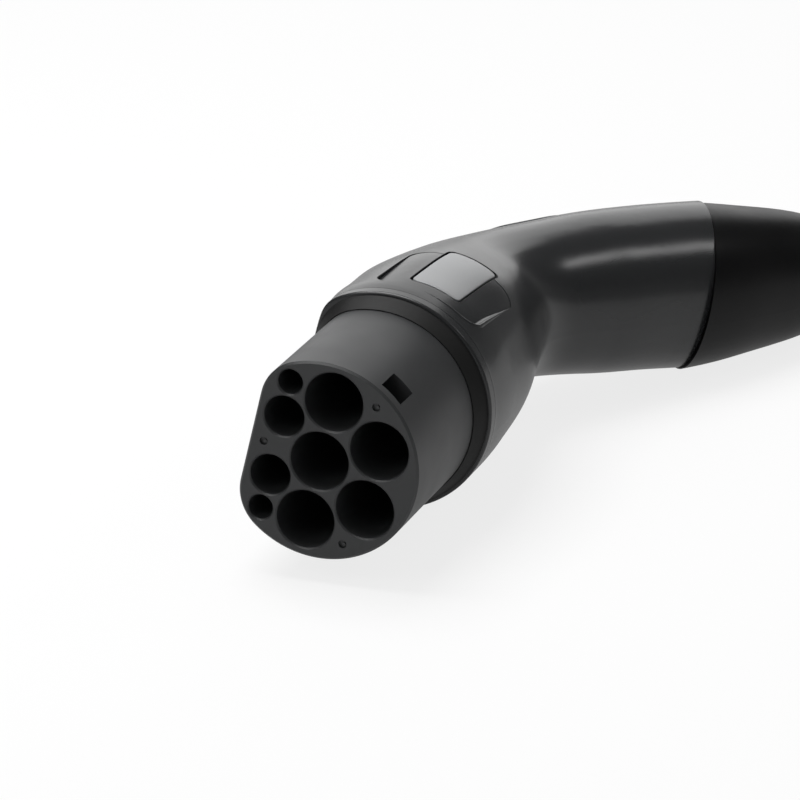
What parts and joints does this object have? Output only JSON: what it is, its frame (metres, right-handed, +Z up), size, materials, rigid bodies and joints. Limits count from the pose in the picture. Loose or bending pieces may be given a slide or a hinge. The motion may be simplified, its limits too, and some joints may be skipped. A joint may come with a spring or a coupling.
{
  "type": "ev charging plug",
  "caption": "Bent handle plug for charging an electric car: D-shaped nose with deep round contact cavities, lock window, seal ring, label plate and tapered cable boot.",
  "frame": {"origin": "centre of the mating face, on the nose axis", "axes": "+X out of the mating face along the nose axis; +Z up as the plug lies on its side, label side up; +Y towards the side that the handle leans to"},
  "size_m": [0.2526, 0.1099, 0.0665],
  "materials": {
    "nose_plastic": "fine-grained moulded black polyamide",
    "ring_plastic": "satin moulded black plastic",
    "housing_plastic": "satin to semi-gloss moulded black plastic",
    "boot_plastic": "soft matt black thermoplastic elastomer",
    "seal_rubber": "matt black silicone rubber",
    "label_metal": "satin silver-grey plate",
    "insulator_plastic": "moulded black glass-filled polyamide",
    "tip_plastic": "moulded black plastic",
    "contact_metal": "silver-plated copper alloy",
    "zinc_steel": "zinc-plated steel",
    "resistor_body": "lacquered resistor"
  },
  "bodies": {
    "root": {"nose_housing": "nose_plastic", "contact_block": "insulator_plastic", "contact_retainer": "insulator_plastic", "block_screws": "zinc_steel", "coding_resistor": "resistor_body", "nose_seal": "seal_rubber", "front_ring": "ring_plastic", "housing_gasket": "seal_rubber", "main_housing": "housing_plastic", "label_plate": "label_metal", "thumb_pad": "boot_plastic", "tail_boot": "boot_plastic", "gland_collet": "insulator_plastic", "cable_grommet": "seal_rubber", "clamp_base": "insulator_plastic", "clamp_saddle": "insulator_plastic", "clamp_screws": "zinc_steel", "pin_l1": "contact_metal", "tip_l1": "tip_plastic", "pin_l2": "contact_metal", "tip_l2": "tip_plastic", "pin_l3": "contact_metal", "tip_l3": "tip_plastic", "pin_neutral": "contact_metal", "tip_neutral": "tip_plastic", "pin_earth": "contact_metal", "tip_earth": "tip_plastic", "pin_pilot": "contact_metal", "pin_proximity": "contact_metal"}
  },
  "joints": []
}
